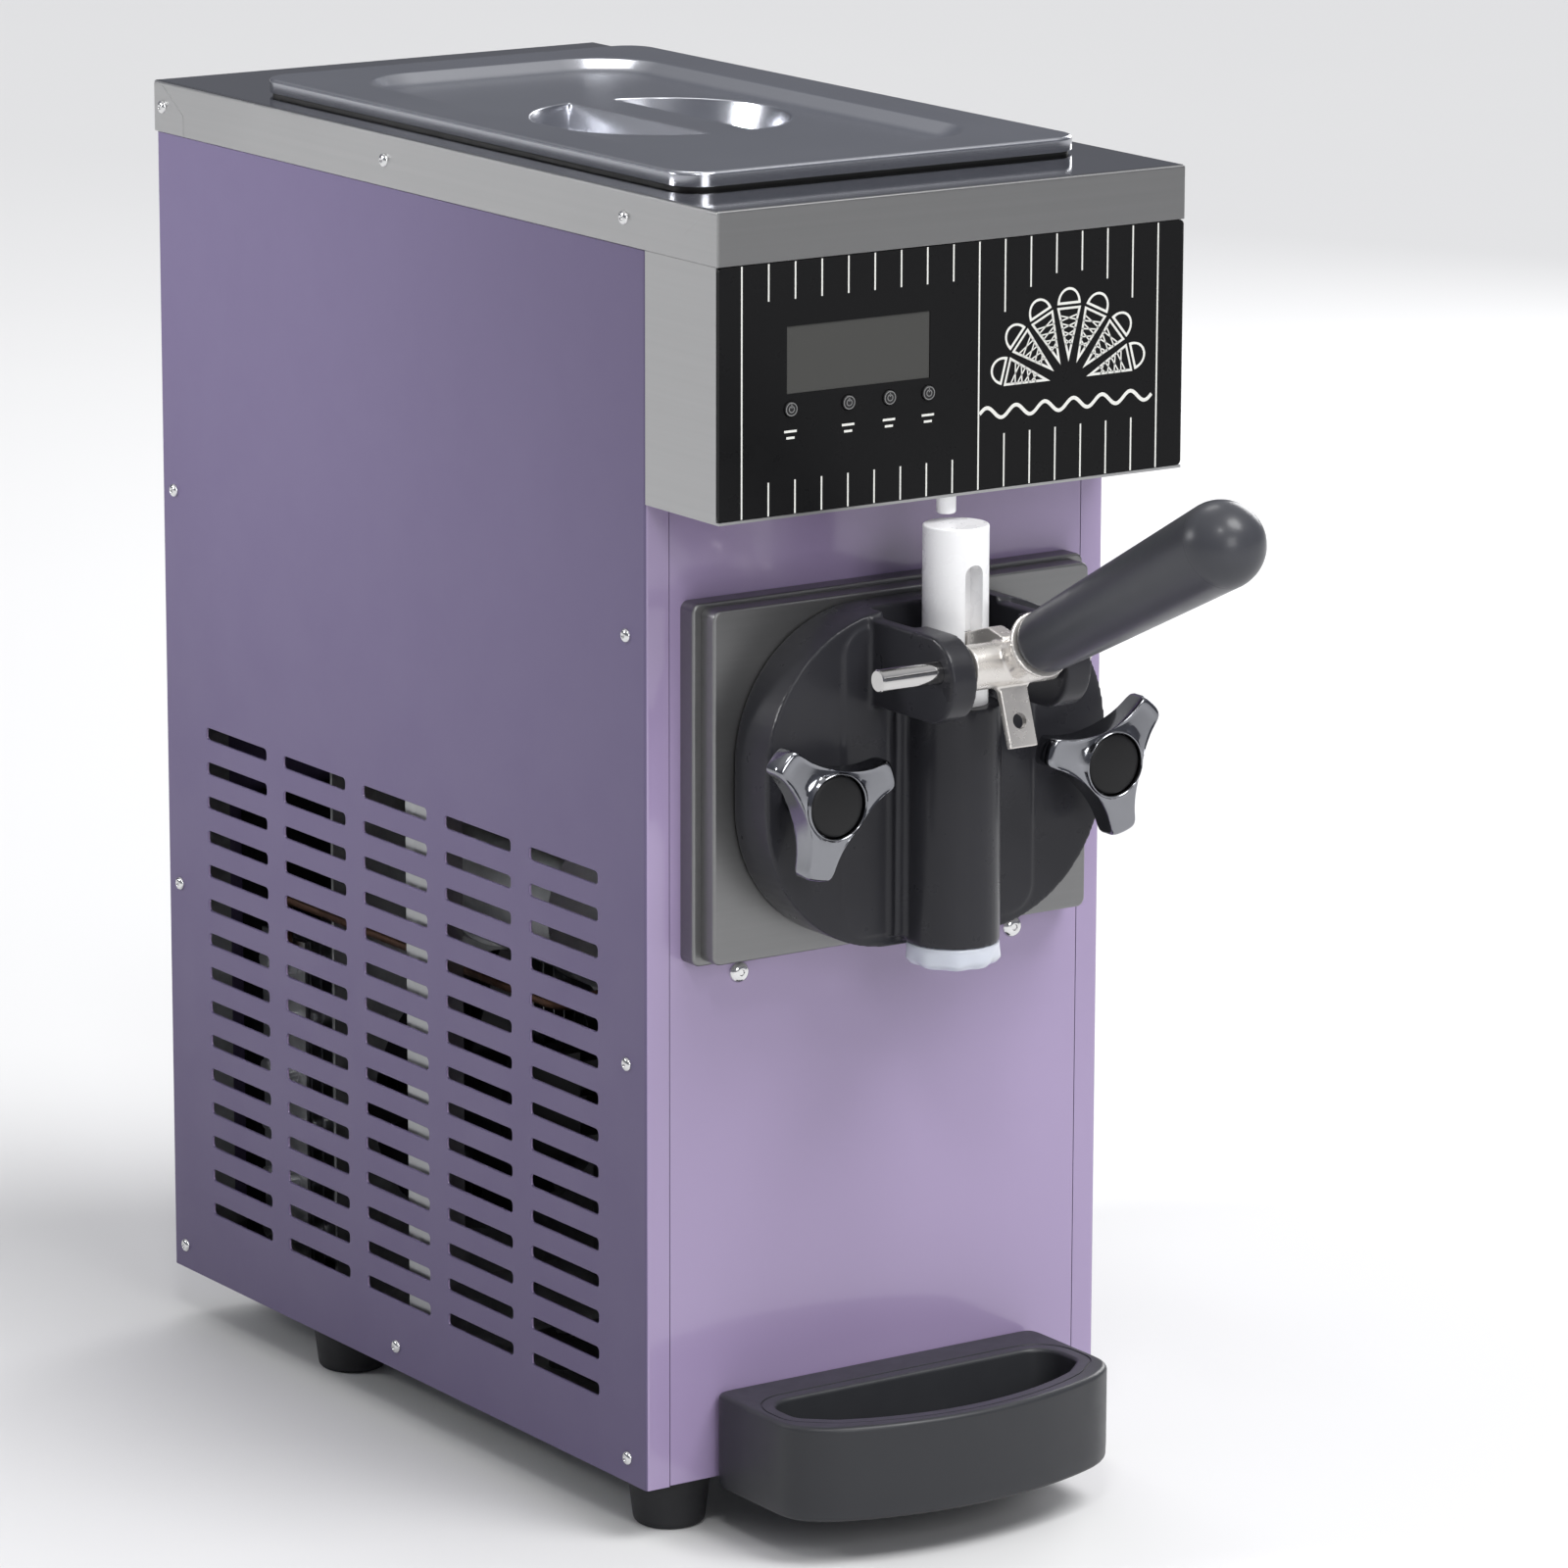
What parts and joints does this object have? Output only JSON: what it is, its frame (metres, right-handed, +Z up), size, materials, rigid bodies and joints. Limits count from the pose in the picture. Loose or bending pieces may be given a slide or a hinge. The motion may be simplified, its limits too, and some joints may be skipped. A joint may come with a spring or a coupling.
{
  "type": "soft serve machine",
  "caption": "Countertop soft serve machine: slotted cabinet, control head, lidded hopper, front freezing door with pull handle, star nozzle and drip tray.",
  "frame": {"origin": "on the floor, under the centre of the machine's bounding box", "axes": "+Z up, -Y towards the person serving, +X to that person's right"},
  "size_m": [0.248, 0.6947, 0.61],
  "materials": {
    "rubber_black": "matte",
    "stainless": "brushed",
    "galvanised": "spangled",
    "side_paint": "satin",
    "front_paint": "gloss",
    "fascia_black": "gloss",
    "window_smoke": "gloss",
    "board_green": "satin",
    "moulded_black": "satin",
    "tray_grey": "satin",
    "grip_black": "satin",
    "white_plastic": "satin",
    "clear_white": "translucent",
    "bright_steel": "polished",
    "chrome": "polished",
    "zinc_screws": "polished",
    "cast_steel": "satin",
    "seal_black": "satin",
    "seal_red": "satin",
    "copper": "satin",
    "foam": "matte",
    "cast_iron": "cast",
    "aluminium": "satin",
    "black_enamel": "gloss",
    "button_grey": "satin",
    "belt_rubber": "matte"
  },
  "bodies": {
    "cabinet": {"feet": "rubber_black", "base_tray": "galvanised", "frame_posts": "galvanised", "side_panel_left": "side_paint", "side_panel_right": "side_paint", "front_panel": "front_paint", "rear_panel": "side_paint", "cable_gland": "moulded_black", "hopper": "stainless", "top_cover": "stainless", "air_tube": "white_plastic", "panel_screws": "zinc_screws", "front_screws": "zinc_screws", "control_housing": "stainless", "control_fascia": "fascia_black", "display_window": "window_smoke", "control_board": "board_green", "door_flange": "stainless", "door_cover": "stainless", "studs": "bright_steel", "head_gasket": "seal_red", "dispensing_head": "moulded_black", "freezing_cylinder": "stainless", "evaporator_jacket": "copper", "insulation": "foam", "beater_bushing": "white_plastic", "bearing_housing": "cast_iron", "drive_belt": "belt_rubber", "drive_bulkhead": "galvanised", "drive_motor": "aluminium", "fan_motor": "black_enamel", "condenser": "aluminium", "compressor": "black_enamel", "compressor_mounts": "rubber_black", "refrigerant_pipes": "copper", "electrical_box": "galvanised"},
    "lid": {"lid": "stainless", "lid_gasket": "seal_black"},
    "handle": {"lever": "cast_steel", "grip": "grip_black"},
    "plunger": {"plunger": "white_plastic", "plunger_seals": "seal_black"},
    "draw_switch": {"draw_switch_pin": "white_plastic"},
    "pivot_pin": {"pivot_pin": "bright_steel"},
    "knob_left": {"star_knob_left": "chrome", "knob_cap_left": "moulded_black"},
    "knob_right": {"star_knob_right": "chrome", "knob_cap_right": "moulded_black"},
    "nozzle": {"nozzle_cap": "clear_white"},
    "tray": {"drip_tray": "tray_grey"},
    "mode_button": {"button_mode": "button_grey"},
    "down_button": {"button_down": "button_grey"},
    "up_button": {"button_up": "button_grey"},
    "power_button": {"button_power": "button_grey"},
    "beater": {"beater": "stainless", "scraper_blades": "white_plastic", "drive_shaft": "bright_steel", "drive_pulley": "cast_iron"},
    "motor_rotor": {"motor_pulley": "aluminium"},
    "fan": {"fan_blades": "moulded_black"}
  },
  "joints": [
    {"name": "lid_lift", "type": "slide", "parent": "cabinet", "child": "lid", "axis": [0, 0, 1], "range_m": [0, 0.12]},
    {"name": "handle_pull", "type": "hinge", "parent": "cabinet", "child": "handle", "pos_m": [0, -0.17925, 0.402], "axis": [1, 0, 0], "range_deg": [0, 18]},
    {"name": "plunger_lift", "type": "slide", "parent": "cabinet", "child": "plunger", "axis": [0, 0, 1], "range_m": [0, 0.0101]},
    {"name": "switch_push", "type": "slide", "parent": "cabinet", "child": "draw_switch", "axis": [0, 0, 1], "range_m": [0, 0.008]},
    {"name": "pin_pull", "type": "slide", "parent": "cabinet", "child": "pivot_pin", "axis": [-1, 0, 0], "range_m": [0, 0.112]},
    {"name": "knob_left_turn", "type": "hinge", "parent": "cabinet", "child": "knob_left", "pos_m": [-0.0733, -0.13925, 0.344], "axis": [0, -1, 0], "continuous": true},
    {"name": "knob_right_turn", "type": "hinge", "parent": "cabinet", "child": "knob_right", "pos_m": [0.0733, -0.13925, 0.344], "axis": [0, -1, 0], "continuous": true},
    {"name": "nozzle_turn", "type": "hinge", "parent": "cabinet", "child": "nozzle", "pos_m": [0, -0.14075, 0.265], "axis": [0, 0, 1], "continuous": true},
    {"name": "tray_pull", "type": "slide", "parent": "cabinet", "child": "tray", "axis": [0, -1, 0], "range_m": [0, 0.12]},
    {"name": "mode_press", "type": "slide", "parent": "cabinet", "child": "mode_button", "axis": [0, 1, 0], "range_m": [0, 0.0008], "stiffness_N_per_m": 900, "springref_m": -0.0006},
    {"name": "down_press", "type": "slide", "parent": "cabinet", "child": "down_button", "axis": [0, 1, 0], "range_m": [0, 0.0008], "stiffness_N_per_m": 900, "springref_m": -0.0006},
    {"name": "up_press", "type": "slide", "parent": "cabinet", "child": "up_button", "axis": [0, 1, 0], "range_m": [0, 0.0008], "stiffness_N_per_m": 900, "springref_m": -0.0006},
    {"name": "power_press", "type": "slide", "parent": "cabinet", "child": "power_button", "axis": [0, 1, 0], "range_m": [0, 0.0008], "stiffness_N_per_m": 900, "springref_m": -0.0006},
    {"name": "beater_spin", "type": "hinge", "parent": "cabinet", "child": "beater", "pos_m": [0, -0.03925, 0.344], "axis": [0, 1, 0], "continuous": true},
    {"name": "motor_spin", "type": "hinge", "parent": "cabinet", "child": "motor_rotor", "pos_m": [0, 0.22075, 0.23], "axis": [0, 1, 0], "continuous": true},
    {"name": "fan_spin", "type": "hinge", "parent": "cabinet", "child": "fan", "pos_m": [0, 0.24775, 0.117], "axis": [0, 1, 0], "continuous": true}
  ],
  "couplings": [
    {"joint": "plunger_lift", "follows": "handle_pull", "m_per_rad": 0.03208},
    {"joint": "switch_push", "follows": "handle_pull", "m_per_rad": 0.02515},
    {"joint": "motor_spin", "follows": "beater_spin", "ratio": 4}
  ]
}
